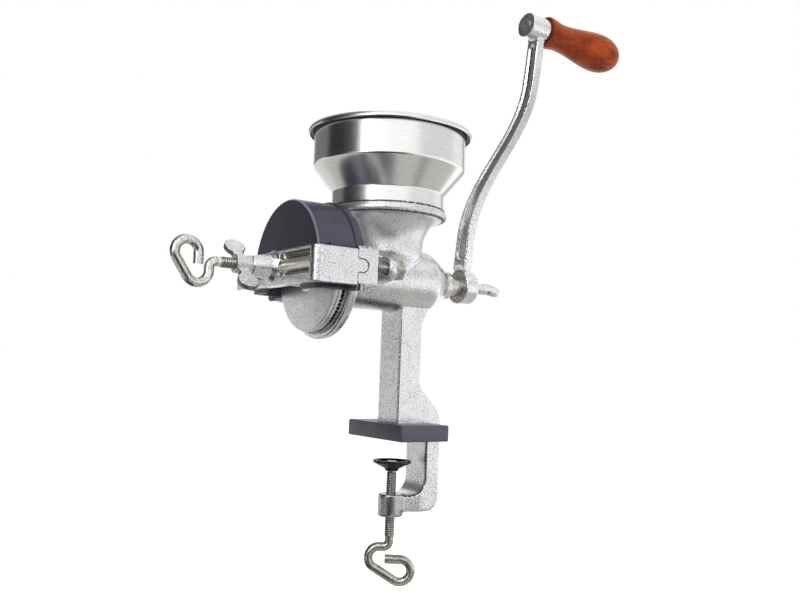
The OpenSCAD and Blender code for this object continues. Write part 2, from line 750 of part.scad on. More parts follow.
module crank() color("lightgray") at_mill() rotate([0, crank_lean, 0]) difference() {
    hub_r = hub_d / 2;
    back_r = 3;
    lip = channel_lip;
    channel_from = 31;
    channel_to = crank_l - 20;
    union() {
        difference() {
            intersection() {
                arm_band(2, crank_l, -arm_t / 2, arm_t / 2, arm_w + 2);
                along(crank_y - 10, crank_y + crank_offset + arm_t + 10) arm_outline(2, crank_l, arm_w, arm_top_w);
            }
            bar(crank_y - 10, crank_y + 0.8, hub_r + 2.5);
        }
        about_shaft() polygon(concat(
            [[0, crank_y], [hub_r - 0.6, crank_y], [hub_r, crank_y + 0.6]],
            arc(hub_r - back_r, hub_back - back_r, back_r, 0, 90, 5),
            [[0, hub_back]]));
        at_crank_boss() bar(-crank_boss_l / 2, crank_boss_l / 2, crank_boss_d / 2);
    }
    intersection() {
        arm_band(12, crank_l - 4, -arm_t, -arm_t / 2 + channel_deep, arm_w);
        along(crank_y - 20, crank_y + crank_offset + arm_t + 10)
            arm_outline(channel_from, channel_to, arm_w - 2 * lip, arm_top_w - 2 * lip);
    }
    square_bar(crank_y - cut, hub_back + cut, square_w + 2 * running);
    at_crank_boss() bar(-crank_boss_l, crank_boss_l, grip_pin_d / 2);
}

module at_crank_boss() translate([0, crank_y + crank_offset, crank_l]) rotate([-grip_droop, 0, 0]) children();

module at_grip() at_mill() rotate([0, crank_lean, 0]) at_crank_boss()
    translate([0, crank_boss_l / 2, 0]) children();

module crank_washer() color("silver") at_mill() rotate([0, crank_lean, 0]) difference() {
    bar(hub_back, hub_back + 1.5, 9);
    bar(hub_back - cut, hub_back + 1.5 + cut, crank_thread_r + easy);
}

// Thumb screw: a collar, a neck and a flattened head
module crank_screw() color("silver") at_mill() rotate([0, crank_lean, 0]) {
    seat = hub_back + 1.5;
    thumb_r = 9.5;
    thumb_t = 4.4;
    bar(crank_y - 5, seat + 1, crank_thread_r);
    bar(seat, seat + 3, 6.5);
    bar(seat + 2, seat + thumb_l - 2 * thumb_r, 5);
    rotate([0, 22, 0]) {
        translate([0, seat + thumb_l - thumb_r, 0]) cylinder(h = thumb_t, r = thumb_r, center = true);
        translate([-6.5, seat + 5, -thumb_t / 2]) cube([13, thumb_l - thumb_r - 8, thumb_t]);
    }
}

module grip_pin() color("silver") at_grip() {
    bar(-crank_boss_l - 1, grip_l - 4, grip_pin_d / 2);
    bar(-crank_boss_l - 1.2, -crank_boss_l, grip_pin_d / 2 + 1.5);
    bar(grip_l - 4, grip_l - 2, grip_pin_d / 2 + 2);
}

module grip_washer() color("silver") at_grip() difference() {
    bar(grip_l - 5.2, grip_l - 4, 7.5);
    bar(grip_l - 6, grip_l - 3, grip_pin_d / 2 + easy);
}

// Grip: turned wood. Its outline eases from one diameter to the next.
function ease(a, b, s) = a + (b - a) * (1 - cos(180 * s)) / 2;
module grip() color("sienna") at_grip() difference() {
    end_r = grip_end_d / 2;
    neck_r = grip_neck_d / 2;
    bulb_r = grip_bulb_d / 2;
    neck_y = 19;
    bulb_y = grip_l * 0.73;
    tail = grip_l - bulb_y;
    about_shaft() polygon(concat(
        [[0, easy], [end_r - 1, easy], [end_r, easy + 1]],
        [for (i = [0 : 6]) [ease(end_r, neck_r, i / 6), 2 + (neck_y - 2) * i / 6]],
        [for (i = [1 : 12]) [ease(neck_r, bulb_r, i / 12), neck_y + (bulb_y - neck_y) * i / 12]],
        [for (i = [1 : 9]) [bulb_r * cos(9 * i), bulb_y + tail * sin(9 * i)]],
        [[0, grip_l]]));
    bar(-cut, grip_l + cut, grip_pin_d / 2 + 0.1);
    bar(grip_l - 5.2 - easy, grip_l + cut, 8);
}

// Pad: it slides onto the casting's foot plate from the front
module table_pad() color("dimgray") difference() {
    slot = post_w + 2 * easy;
    plate_z = pad_t - foot_t - 4;
    plate_w = pad_w - 13 + 2 * easy;
    back = pad_l / 2;
    translate([-pad_w / 2, -back, 0]) cube([pad_w, pad_l, pad_t]);
    translate([-slot / 2, post_front - hopper_back - easy, plate_z]) cube([slot, pad_l, pad_t]);
    translate([-plate_w / 2, -back + 4.4 - easy, plate_z]) cube([plate_w, pad_l, foot_t]);
    translate([-slot / 2, arm_front - hopper_back - easy, -cut]) cube([slot, pad_l, pad_t + 2 * cut]);
}

// Cup: a dished plate with a tapered neck that the clamp screw turns in
module clamp_cup() color("dimgray") at_table() translate([0, screw_y, cup_z]) {
    r = cup_d / 2;
    rotate_extrude() polygon([[neck_r + running, -cup_h], [screw_d / 2 + 1, -cup_h], [screw_d / 2 + 2, -cup_h + 2],
        [r - 1, -2.6], [r, -2], [r, 0], [r - 3, 0], [r - 5, -2.4], [neck_r + running, -2.4]]);
}
neck_r = 3;

module clamp_screw() color("silver") at_table() translate([0, screw_y, 0]) {
    bend = 5;
    low = -clamp_h + boss_top - clamp_boss_h - clamp_screw_out;
    translate([0, 0, low + bend]) cylinder(h = cup_z - cup_h - easy - low - bend, r = screw_d / 2);
    translate([0, 0, cup_z - cup_h - 1]) cylinder(h = cup_h - 1.2, r = neck_r);
    translate([0, 0, cup_z - 2.2]) cylinder(h = 1.4, r = neck_r + 1.6);
    translate([0, 0, low]) rotate([90, 90, clamp_screw_turn]) loop_handle(clamp_loop_far, clamp_rod_gap);
}

body();
hopper();
stationary_burr();
rotating_burr();
burr_carrier();
auger();
thrust_washer();
thrust_ball();
yoke();
hinge_bolts();
hinge_pins();
hinge_nuts();
cover();
adjusting_screw();
lock_nut();
crank();
crank_washer();
crank_screw();
grip_pin();
grip_washer();
grip();
table_pad();
clamp_cup();
clamp_screw();
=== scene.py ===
# Hand-cranked corn grinder, clamped to the edge of a table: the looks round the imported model.
import math

import bmesh
import bpy
from mathutils import Matrix, Vector


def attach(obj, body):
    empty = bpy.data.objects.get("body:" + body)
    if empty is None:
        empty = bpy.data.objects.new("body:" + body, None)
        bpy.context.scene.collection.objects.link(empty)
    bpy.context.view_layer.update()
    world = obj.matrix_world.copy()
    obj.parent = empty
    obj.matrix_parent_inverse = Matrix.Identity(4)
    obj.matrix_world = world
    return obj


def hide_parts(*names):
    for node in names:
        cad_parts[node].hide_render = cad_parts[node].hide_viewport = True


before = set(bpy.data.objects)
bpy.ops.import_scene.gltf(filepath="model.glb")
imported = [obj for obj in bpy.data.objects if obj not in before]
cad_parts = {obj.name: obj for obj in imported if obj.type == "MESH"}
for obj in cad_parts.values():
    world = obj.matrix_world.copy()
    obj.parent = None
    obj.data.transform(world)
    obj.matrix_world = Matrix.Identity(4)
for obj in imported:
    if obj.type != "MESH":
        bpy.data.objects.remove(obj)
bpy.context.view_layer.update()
scene = bpy.context.scene

# The camera stands a little below the shaft, on the side that the crank leans to, and looks
# slightly upward. Its angles and distance were fitted to the hopper's rim, the shaft and the post.
MM = 0.001
AZIMUTH = 0.9770181
ELEVATION = -0.07826435
ROLL = 0.03837017
DISTANCE = 0.771169
AIM_ACROSS = 0.014186
AIM_UP = 0.12039
HOPPER_Y = -19.5
FOCAL_PIXELS = 882.0
IMAGE_PIXELS = 800.0
SENSOR_WIDTH = 36.0


def link_in(piece):
    scene.collection.objects.link(piece)
    return piece


back = Vector((math.sin(AZIMUTH) * math.cos(ELEVATION), -math.cos(AZIMUTH) * math.cos(ELEVATION),
               math.sin(ELEVATION)))
level = Vector((math.cos(AZIMUTH), math.sin(AZIMUTH), 0.0))
rise = back.cross(level)
right = math.cos(ROLL) * level + math.sin(ROLL) * rise
up = -math.sin(ROLL) * level + math.cos(ROLL) * rise
aim = Vector((AIM_ACROSS * level.x, AIM_ACROSS * level.y + HOPPER_Y * MM, AIM_UP))
camera = bpy.data.objects.new("camera", bpy.data.cameras.new("camera"))
camera.data.sensor_width = SENSOR_WIDTH
camera.data.lens = FOCAL_PIXELS / IMAGE_PIXELS * SENSOR_WIDTH
camera.data.clip_start = 0.01
camera.matrix_world = Matrix((
    (right.x, up.x, back.x, aim.x + back.x * DISTANCE),
    (right.y, up.y, back.y, aim.y + back.y * DISTANCE),
    (right.z, up.z, back.z, aim.z + back.z * DISTANCE),
    (0.0, 0.0, 0.0, 1.0)))
scene.camera = link_in(camera)

# The studio: a plain white floor in a white surround, with large soft lamps. Metal shows what
# stands round it, so cards that only mirrors see stand where flags and soft boxes would.
scene.view_settings.view_transform = "Standard"
FLOOR_Z = -0.32
FLOOR_SIDE = 60
FLOOR_GLOW = 0.85
SURROUND_LIGHT = 0.34
LAMP_AIM = Vector((0, 0, 0.12))


def maths(tree, operation, *values):
    """A Math node that takes numbers and other nodes' outputs."""
    node = tree.nodes.new("ShaderNodeMath")
    node.operation = operation
    for socket, value in zip(node.inputs, values):
        if isinstance(value, (int, float)):
            socket.default_value = value
        else:
            tree.links.new(value, socket)
    return node.outputs[0]


def looked_at(tree):
    """1 for rays from the camera, from mirrors and through glass, and 0 for all others."""
    path = tree.nodes.new("ShaderNodeLightPath")
    mirrored = maths(tree, "MAXIMUM", path.outputs["Is Camera Ray"], path.outputs["Is Glossy Ray"])
    return maths(tree, "MAXIMUM", mirrored, path.outputs["Is Transmission Ray"])


def glowing(name, grey):
    """A material without gloss, which gives off its own light."""
    material = bpy.data.materials.new(name)
    material.use_nodes = True
    shader = material.node_tree.nodes["Principled BSDF"]
    shader.inputs["Base Color"].default_value = (0.0, 0.0, 0.0, 1.0)
    shader.inputs["Specular IOR Level"].default_value = 0.0
    shader.inputs["Emission Color"].default_value = (*grey, 1.0)
    shader.inputs["Emission Strength"].default_value = 1.0
    return material


def flat_sheet(name, centre, facing, width, height, material):
    """A flat sheet about a centre, in metres, which faces a given way."""
    facing = Vector(facing).normalized()
    lying = abs(facing.z) > 0.99
    side = Vector((1, 0, 0)) if lying else Vector((0, 0, 1)).cross(facing).normalized()
    top = facing.cross(side)
    mesh = bpy.data.meshes.new(name)
    corners = [Vector(centre) + side * width / 2 * a + top * height / 2 * b
               for a, b in ((-1, -1), (1, -1), (1, 1), (-1, 1))]
    mesh.from_pydata(corners, [], [(0, 1, 2, 3)])
    mesh.materials.append(material)
    piece = link_in(bpy.data.objects.new(name, mesh))
    return piece


def stand_off(bearing, distance):
    """The way to a bearing, and the point at a distance along it. A bearing is in degrees to the
    right of the camera as the mill sees it."""
    turn = math.radians(bearing)
    way = Vector((back.x, back.y, 0)).normalized() * math.cos(turn) + level * math.sin(turn)
    return way, Vector((0, HOPPER_Y * MM, 0)) + way * distance


def for_mirrors(piece):
    """Leaves a card to be seen by mirrors alone."""
    piece.visible_camera = False
    piece.visible_diffuse = False
    piece.visible_shadow = False
    piece.visible_transmission = False


def card(name, grey, bearing, distance, width, low, high):
    """An upright card that faces the mill."""
    way, middle = stand_off(bearing, distance)
    centre = (middle.x, middle.y, (low + high) / 2)
    for_mirrors(flat_sheet(name, centre, -way, width, high - low, glowing(name, grey)))


def lying_card(name, grey, bearing, distance, width, depth, at):
    """A card that lies at a height, with its width across the line to the mill."""
    way, middle = stand_off(bearing, distance)
    piece = flat_sheet(name, (0, 0, 0), (0, 0, 1), width, depth, glowing(name, grey))
    spin = Matrix.Rotation(math.atan2(way.y, way.x) - math.pi / 2, 4, "Z")
    piece.data.transform(Matrix.Translation((middle.x, middle.y, at)) @ spin)
    for_mirrors(piece)


def lamp(name, place, size, power, mirrored=False):
    light = bpy.data.lights.new(name, "AREA")
    light.shape = "RECTANGLE"
    light.size, light.size_y = size
    light.energy = power
    piece = link_in(bpy.data.objects.new(name, light))
    piece.location = place
    piece.rotation_euler = (LAMP_AIM - Vector(place)).to_track_quat("-Z", "Y").to_euler()
    piece.visible_glossy = mirrored


world = bpy.data.worlds.new("surround")
scene.world = world
world.use_nodes = True
sky = world.node_tree
sky.nodes.clear()
seen = sky.nodes.new("ShaderNodeBackground")
seen.inputs["Color"].default_value = (1.0, 1.0, 1.0, 1.0)
seen.inputs["Strength"].default_value = 1.0
lit = sky.nodes.new("ShaderNodeBackground")
lit.inputs["Color"].default_value = (0.95, 0.97, 1.0, 1.0)
lit.inputs["Strength"].default_value = SURROUND_LIGHT
either = sky.nodes.new("ShaderNodeMixShader")
sky.links.new(looked_at(sky), either.inputs[0])
sky.links.new(lit.outputs[0], either.inputs[1])
sky.links.new(seen.outputs[0], either.inputs[2])
sky.links.new(either.outputs[0], sky.nodes.new("ShaderNodeOutputWorld").inputs[0])

floor_white = glowing("floor_white", (1.0, 1.0, 1.0))
floor_tree = floor_white.node_tree
floor_shader = floor_tree.nodes["Principled BSDF"]
floor_shader.inputs["Base Color"].default_value = (0.93, 0.93, 0.93, 1.0)
floor_shader.inputs["Roughness"].default_value = 0.9
floor_glow = maths(floor_tree, "MULTIPLY", looked_at(floor_tree), FLOOR_GLOW)
floor_tree.links.new(floor_glow, floor_shader.inputs["Emission Strength"])
flat_sheet("floor", (0, 0, FLOOR_Z), (0, 0, 1), FLOOR_SIDE, FLOOR_SIDE, floor_white)

card("flag_left", (0.02, 0.02, 0.022), bearing=-73, distance=1.5, width=1.75, low=0.30, high=3.2)
card("flag_low_left", (0.02, 0.02, 0.022), bearing=-81, distance=1.5, width=1.25, low=-0.31, high=0.30)
card("grey_low_left", (0.50, 0.50, 0.51), bearing=-51, distance=1.49, width=0.40, low=-0.31, high=0.30)
card("grey_far_left", (0.78, 0.78, 0.79), bearing=-128, distance=1.5, width=1.35, low=-0.31, high=0.30)
card("flag_far_left", (0.20, 0.20, 0.205), bearing=-128, distance=1.5, width=1.35, low=0.30, high=3.2)
card("box_front", (1.18, 1.18, 1.18), bearing=1, distance=1.7, width=2.75, low=0.16, high=1.9)
card("flag_front", (0.03, 0.03, 0.04), bearing=-4, distance=1.7, width=2.4, low=-0.31, high=0.16)
card("box_right", (0.80, 0.80, 0.815), bearing=76, distance=1.6, width=1.9, low=0.42, high=1.3)
card("grey_right", (1.06, 1.06, 1.075), bearing=73, distance=1.6, width=2.1, low=-0.31, high=0.42)
card("strip_front", (9.0, 9.0, 9.0), bearing=-21, distance=1.66, width=0.12, low=0.55, high=1.9)
lying_card("flag_over", (0.22, 0.22, 0.21), bearing=-100, distance=1.35, width=2.4, depth=1.9, at=1.7)
lying_card("card_under", (0.58, 0.565, 0.535), bearing=0, distance=0.15, width=2.6, depth=2.6, at=-0.31)
lying_card("flag_under", (0.05, 0.05, 0.05), bearing=-70, distance=0.32, width=0.55, depth=0.42, at=-0.305)
lying_card("streak_under", (0.28, 0.28, 0.29), bearing=68, distance=0.42, width=0.12, depth=0.5, at=-0.302)
lying_card("flag_low", (0.02, 0.02, 0.03), bearing=-8, distance=1.52, width=2.4, depth=1.35, at=-0.30)
lying_card("flag_near", (0.12, 0.12, 0.13), bearing=-14, distance=0.62, width=0.34, depth=0.62, at=-0.301)
lamp("key", place=(1.5, 0.4, 1.25), size=(1.1, 1.1), power=32)
lamp("strip", place=(0.69, -1.57, 0.6), size=(0.2, 1.2), power=3, mirrored=True)
lamp("overhead", place=(-0.2, 0.1, 1.7), size=(1.2, 1.2), power=20)

# The body: one iron casting, rumbled and dipped in tin. Its edges are soft and its corners are
# filled, so the solid is laid over with a fine even skin that is then eased. Painted shade sits
# round the hopper's seat and under the collar's lip, painted dark reflections run along the
# post's edges, and the clamp screw's boss is smoother with a painted dark reflection.
CLAMP_SCREW_Y = -4.3
COLLAR_IN, COLLAR_OUT = 48.0, 51.0
COLLAR_TOP = 197.8
LIP_LOW, LIP_HIGH = 189.6, 191.3
SCREW_BOSS_TOP, SCREW_BOSS_R = -45.0, 12.4
POST_TOP, ARM_TOP = 104.0, -40.0
EDGE_LEAST, EDGE_MOST = 0.33, 0.95
EDGE_FRONT, EDGE_UP = -0.28, 0.3
THROAT_LOW, THROAT_HIGH = 156.0, 172.0
THROAT_FROST = 0.15
BARE, SHADED_SEAT, EDGE, BOSS_REFLECTION = range(4)
WELD = 2e-6


def merged_copy(name, node):
    """A new object with a CAD node's mesh, its loose triangles joined."""
    joined = bmesh.new()
    joined.from_mesh(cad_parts[node].data)
    bmesh.ops.remove_doubles(joined, verts=joined.verts, dist=WELD)
    mesh = bpy.data.meshes.new(name)
    joined.to_mesh(mesh)
    joined.free()
    return link_in(bpy.data.objects.new(name, mesh))


def settle(piece):
    """Turns a piece with modifiers into a plain mesh."""
    bpy.context.view_layer.update()
    depsgraph = bpy.context.evaluated_depsgraph_get()
    mesh = bpy.data.meshes.new_from_object(piece.evaluated_get(depsgraph))
    piece.modifiers.clear()
    piece.data = mesh
    return piece


def cast_skin(piece, voxel, ease):
    """A casting's skin: small even faces, in millimetres, with edges and corners eased."""
    skin = piece.modifiers.new("skin", "REMESH")
    skin.mode = "VOXEL"
    skin.voxel_size = voxel * MM
    skin.adaptivity = 0.0
    easing = piece.modifiers.new("ease", "SMOOTH")
    easing.factor = 0.5
    easing.iterations = ease
    settle(piece)
    for polygon in piece.data.polygons:
        polygon.use_smooth = True
    return piece


def finish_piece(piece, node, body_name, material):
    """Gives a piece its material and its body, in the place of a CAD node."""
    piece.data.materials.clear()
    piece.data.materials.append(material)
    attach(piece, body_name)
    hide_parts(node)
    return piece


def repaint(piece, pick, *materials):
    """Adds materials, and gives each face the one whose number pick returns for the face's
    centre, in millimetres, and the way it faces."""
    for material in materials:
        piece.data.materials.append(material)
    for polygon in piece.data.polygons:
        polygon.material_index = pick(*(polygon.center / MM), polygon.normal)


class Net:
    """Short calls for a material's nodes, all in object coordinates."""

    def __init__(self, name):
        self.material = bpy.data.materials.new(name)
        self.material.use_nodes = True
        self.tree = self.material.node_tree
        self.nodes, self.links = self.tree.nodes, self.tree.links
        self.shader = self.nodes["Principled BSDF"]
        self.place = self.nodes.new("ShaderNodeTexCoord").outputs["Object"]
        self.normal = None

    def set(self, **values):
        for label, value in values.items():
            self.shader.inputs[label.replace("_", " ")].default_value = value

    def feed(self, label, source):
        self.links.new(source, self.shader.inputs[label])

    def source(self, label):
        return self.shader.inputs[label].links[0].from_socket

    def stretched(self, scale):
        node = self.nodes.new("ShaderNodeMapping")
        node.inputs["Scale"].default_value = scale
        self.links.new(self.place, node.inputs["Vector"])
        return node.outputs["Vector"]

    def noise(self, scale, detail=3.0, rough=0.55, vector=None):
        node = self.nodes.new("ShaderNodeTexNoise")
        node.inputs["Scale"].default_value = scale
        node.inputs["Detail"].default_value = detail
        node.inputs["Roughness"].default_value = rough
        self.links.new(vector or self.place, node.inputs["Vector"])
        return node.outputs["Fac"]

    def cells(self, scale):
        node = self.nodes.new("ShaderNodeTexVoronoi")
        node.inputs["Scale"].default_value = scale
        self.links.new(self.place, node.inputs["Vector"])
        return node.outputs["Distance"]

    def stations(self):
        """The three object coordinates, one output each."""
        node = self.nodes.new("ShaderNodeSeparateXYZ")
        self.links.new(self.place, node.inputs[0])
        return node.outputs

    def work(self, operation, *values):
        return maths(self.tree, operation, *values)

    def ramp(self, source, low, high, a=0.0, b=1.0):
        node = self.nodes.new("ShaderNodeMapRange")
        for label, value in (("From Min", low), ("From Max", high), ("To Min", a), ("To Max", b)):
            node.inputs[label].default_value = value
        self.links.new(source, node.inputs["Value"])
        return node.outputs["Result"]

    def tint(self, source, a, b, blend="MIX"):
        node = self.nodes.new("ShaderNodeMix")
        node.data_type, node.blend_type = "RGBA", blend
        self.links.new(source, node.inputs[0])
        for socket, colour in ((node.inputs[6], a), (node.inputs[7], b)):
            if isinstance(colour, tuple):
                socket.default_value = (*colour, 1.0)
            else:
                self.links.new(colour, socket)
        return node.outputs[2]

    def vary_gloss(self, scale, low, high, detail=3.0):
        """Roughness that wanders between two values."""
        self.feed("Roughness", self.ramp(self.noise(scale, detail), 0.3, 0.7, low, high))

    def bump(self, source, strength, depth):
        """Adds relief on top of the relief so far, with its depth in millimetres."""
        node = self.nodes.new("ShaderNodeBump")
        node.inputs["Strength"].default_value = strength
        node.inputs["Distance"].default_value = depth * MM
        self.links.new(source, node.inputs["Height"])
        if self.normal:
            self.links.new(self.normal, node.inputs["Normal"])
        self.normal = node.outputs["Normal"]
        self.links.new(self.normal, self.shader.inputs["Normal"])


def times(colour, factor):
    return tuple(channel * factor for channel in colour)


def cast_net(name, colour, shade, gloss, spread=0.1, waves=0.1, grain=0.6, pits=0.5):
    """Tinned or bare cast iron: broad ripples, a fine speckled grain and scattered pinholes."""
    net = Net(name)
    net.set(Metallic=1.0)
    broad = net.noise(30.0, 4.0)
    fine = net.noise(760.0, 2.0, 0.6)
    pinholes = net.ramp(net.cells(300.0), 0.05, 0.16)
    clean = net.tint(net.ramp(broad, 0.42, 0.72, 0.0, 0.4), colour, shade)
    patches = net.ramp(net.noise(70.0), 0.36, 0.62, 0.3, 1.0)
    flecks = net.work("MULTIPLY", net.ramp(fine, 0.46, 0.60, 0.0, 0.9 * pits), patches)
    flecked = net.tint(flecks, clean, times(shade, 0.42))
    net.feed("Base Color", net.tint(pinholes, times(shade, 1 - 0.6 * pits), flecked))
    net.vary_gloss(260.0, gloss - spread / 2, gloss + spread / 2)
    net.bump(net.noise(60.0, 1.0), waves, 1.0)
    net.bump(fine, grain, 0.36)
    return net


def cast_metal(*recipe, **more):
    return cast_net(*recipe, **more).material


tinned_net = cast_net("tinned_casting", (0.83, 0.825, 0.84), (0.74, 0.735, 0.755), 0.22,
                      spread=0.08, grain=0.70, pits=0.75)
height = tinned_net.stations()["Z"]
frosted = tinned_net.ramp(height, THROAT_LOW * MM, THROAT_HIGH * MM, 0.0, THROAT_FROST)
tinned_net.feed("Roughness", tinned_net.work("ADD", tinned_net.source("Roughness"), frosted))
tinned = tinned_net.material
# Dark tin round the hopper's seat and under the collar's lip: painted shade.
seat_grime = cast_metal("seat_grime", (0.13, 0.127, 0.12), (0.08, 0.078, 0.07), 0.5)
# Dark tin along the post's edges and the clamp arm's inner edges: painted dark reflections.
edge_shade = cast_metal("edge_shade", (0.22, 0.215, 0.21), (0.10, 0.098, 0.095), 0.45, pits=0.9)
# The clamp screw's boss: a smoother skin whose darker tone is a painted dark reflection.
boss_skin = cast_metal("boss_skin", (0.54, 0.535, 0.545), (0.38, 0.375, 0.385), 0.24,
                       spread=0.08, grain=0.32)


def body_finish(x, y, z, facing):
    from_neck = math.hypot(x, y - HOPPER_Y)
    on_seat = COLLAR_IN < from_neck < COLLAR_OUT and z > COLLAR_TOP
    if on_seat or (from_neck > COLLAR_IN and LIP_LOW < z < LIP_HIGH):
        return SHADED_SEAT
    if z < SCREW_BOSS_TOP and math.hypot(x, y - CLAMP_SCREW_Y) < SCREW_BOSS_R:
        return BOSS_REFLECTION
    shown = facing.y < EDGE_FRONT if z > ARM_TOP else facing.z > EDGE_UP
    if z < POST_TOP and EDGE_LEAST < abs(facing.x) < EDGE_MOST and shown:
        return EDGE
    return BARE


body = cast_skin(merged_copy("casting", "body"), voxel=1.2, ease=4)
finish_piece(body, "body", "mill", tinned)
repaint(body, body_finish, seat_grime, edge_shade, boss_skin)

# The hopper: stainless sheet, spun to shape on a lathe, with its rim curled outward and down.
# It drops into the casting's collar and lifts out for cleaning.
SHAFT_Z = 138.0
SEAT_Z = SHAFT_Z + 56.0
NECK_R, BOWL_R, RIM_R = 49.2, 66.75, 72.5
NECK_H, CONE_H, BOWL_H = 18.4, 23.7, 32.0
NECK_BEND, NECK_DROP = 2.0, 1.1
SHOULDER_R = 5
CURL_MOUTH = -2.4
SHEET = 1.2
LATHE_STEPS = 256


def rework(piece, change):
    """Opens a piece's mesh for a change, and puts it back."""
    mesh = bmesh.new()
    mesh.from_mesh(piece.data)
    change(mesh)
    mesh.to_mesh(piece.data)
    mesh.free()
    return piece


def smooth(piece, angle=35.0):
    """Round faces are shaded smooth, and edges sharper than the angle stay sharp."""

    def shade(mesh):
        for face in mesh.faces:
            face.smooth = True
        for edge in mesh.edges:
            edge.smooth = len(edge.link_faces) == 2 and edge.calc_face_angle(0.0) < math.radians(angle)

    return rework(piece, shade)


def lathe(name, outline, foot, steps):
    """A closed outline of (radius, height) turned about an upright line, in millimetres."""
    mesh = bmesh.new()
    rings = []
    turns = [2 * math.pi * i / steps for i in range(steps)]
    for radius, height in outline:
        points = [Vector((radius * math.cos(turn), radius * math.sin(turn), height)) for turn in turns]
        rings.append([mesh.verts.new((Vector(foot) + point) * MM) for point in points])
    for ring, following in zip(rings, rings[1:] + rings[:1]):
        for i in range(steps):
            j = (i + 1) % steps
            mesh.faces.new((ring[i], ring[j], following[j], following[i]))
    bmesh.ops.recalc_face_normals(mesh, faces=mesh.faces)
    data = bpy.data.meshes.new(name)
    mesh.to_mesh(data)
    mesh.free()
    return smooth(link_in(bpy.data.objects.new(name, data)), angle=40.0)


def arc(x, y, radius, first, last, count):
    """Points along an arc, with angles in degrees."""
    angles = [math.radians(first + (last - first) * i / count) for i in range(count + 1)]
    return [(x + radius * math.cos(angle), y + radius * math.sin(angle)) for angle in angles]


def spun(name, colour, gloss):
    """Spun stainless sheet: fine rings from the lathe and broad changes of gloss."""
    net = Net(name)
    net.set(Metallic=1.0, Anisotropic=0.55)
    rings = net.noise(55.0, 4.0, 0.6, net.stretched((1.0, 1.0, 70.0)))
    net.feed("Base Color", net.tint(net.ramp(rings, 0.35, 0.65), times(colour, 0.86), colour))
    net.vary_gloss(16.0, gloss - 0.03, gloss + 0.05)
    net.bump(rings, 0.10, 0.15)
    net.bump(net.noise(30.0, 1.0), 0.03, 1.0)
    return net.material


shoulder = NECK_H + CONE_H
rim_top = shoulder + BOWL_H
slope = math.degrees(math.atan2(CONE_H, BOWL_R - NECK_R))
curl = (RIM_R - BOWL_R + SHEET) / 2
curl_r, curl_z = RIM_R - curl, rim_top - curl
neck_corner = (NECK_R + NECK_BEND, NECK_H - NECK_DROP)
hopper_line = [(NECK_R - SHEET, 0), (NECK_R, 0)]
hopper_line += arc(*neck_corner, NECK_BEND, 180, 90 + slope, 4)
hopper_line += arc(BOWL_R - SHOULDER_R, shoulder, SHOULDER_R, slope - 90, 0, 10)
hopper_line += arc(curl_r, curl_z, curl - SHEET, 180, -30, 12)
hopper_line += arc(curl_r, curl_z, curl, -30, 180, 18)
hopper_line += arc(BOWL_R - SHOULDER_R, shoulder, SHOULDER_R - SHEET, 0, slope - 90, 10)
hopper_line += arc(*neck_corner, NECK_BEND + SHEET, 90 + slope, 180, 4)


def in_shaded_curl(x, y, z, facing):
    out = math.hypot(x, y - HOPPER_Y) - curl_r
    above = z - SEAT_Z - curl_z
    return int(math.hypot(out, above) < curl - SHEET * 0.9 and above > CURL_MOUTH)


hopper = lathe("hopper_bowl", hopper_line, (0, HOPPER_Y, SEAT_Z), LATHE_STEPS)
finish_piece(hopper, "hopper", "bowl", spun("spun_steel", (0.86, 0.855, 0.845), 0.20))
# The curl's hollow inside gets a dark copy of the steel: painted shade.
repaint(hopper, in_shaded_curl, spun("spun_steel_curl_shade", (0.16, 0.155, 0.15), 0.45))

# The yoke: a U-shaped casting of the same tinned iron across the front, which holds the
# adjusting screw. Its two pockets are left rough, with painted shade on their floors and a warm
# painted reflection on their ribs. Its arms end against the hinge bolts, and painted shade
# darkens the seams there.
POCKET_IN, POCKET_OUT, POCKET_LOW, POCKET_HIGH = 14.0, 63.8, -8.1, 10.3
POCKET_FLOOR, RIB_R = -123.5, 5.4
RIB_ABOVE, RIB_PROUD = 0.5, 1.2
FLOOR_BAND, SEAM_BAND = 2.2, 0.8
SKIN = 0.5
ARM_END = -90.5
SEAM_FACING = 0.88
SHADED_FLOOR, RIB_REFLECTION, SEAM = 1, 2, 3

# Dark tin on the pockets' floors: painted shade.
pocket_floor = cast_metal("pocket_floor", (0.30, 0.295, 0.275), (0.18, 0.175, 0.155), 0.4, pits=0.6)
# Warm, lighter tin on the pockets' ribs: a painted warm reflection.
pocket_rib = cast_metal("pocket_rib", (0.86, 0.84, 0.75), (0.72, 0.70, 0.61), 0.3, pits=0.4)
seam_shade = cast_metal("seam_shade", (0.16, 0.157, 0.15), (0.09, 0.088, 0.085), 0.5)


def yoke_finish(x, y, z, facing):
    above = z - SHAFT_Z
    in_pocket = POCKET_IN < abs(x) < POCKET_OUT and POCKET_LOW < above < POCKET_HIGH
    if in_pocket and y < POCKET_FLOOR + SKIN:
        from_rib = math.hypot(y - POCKET_FLOOR, above - RIB_ABOVE)
        if from_rib < RIB_R + SKIN and y < POCKET_FLOOR - RIB_PROUD:
            return RIB_REFLECTION
        if y > POCKET_FLOOR - FLOOR_BAND:
            return SHADED_FLOOR
    return SEAM if y > ARM_END - SEAM_BAND and abs(facing.x) < SEAM_FACING else BARE


yoke = cast_skin(merged_copy("yoke_casting", "yoke"), voxel=0.6, ease=2)
finish_piece(yoke, "yoke", "mill", tinned)
repaint(yoke, yoke_finish, pocket_floor, pocket_rib, seam_shade)

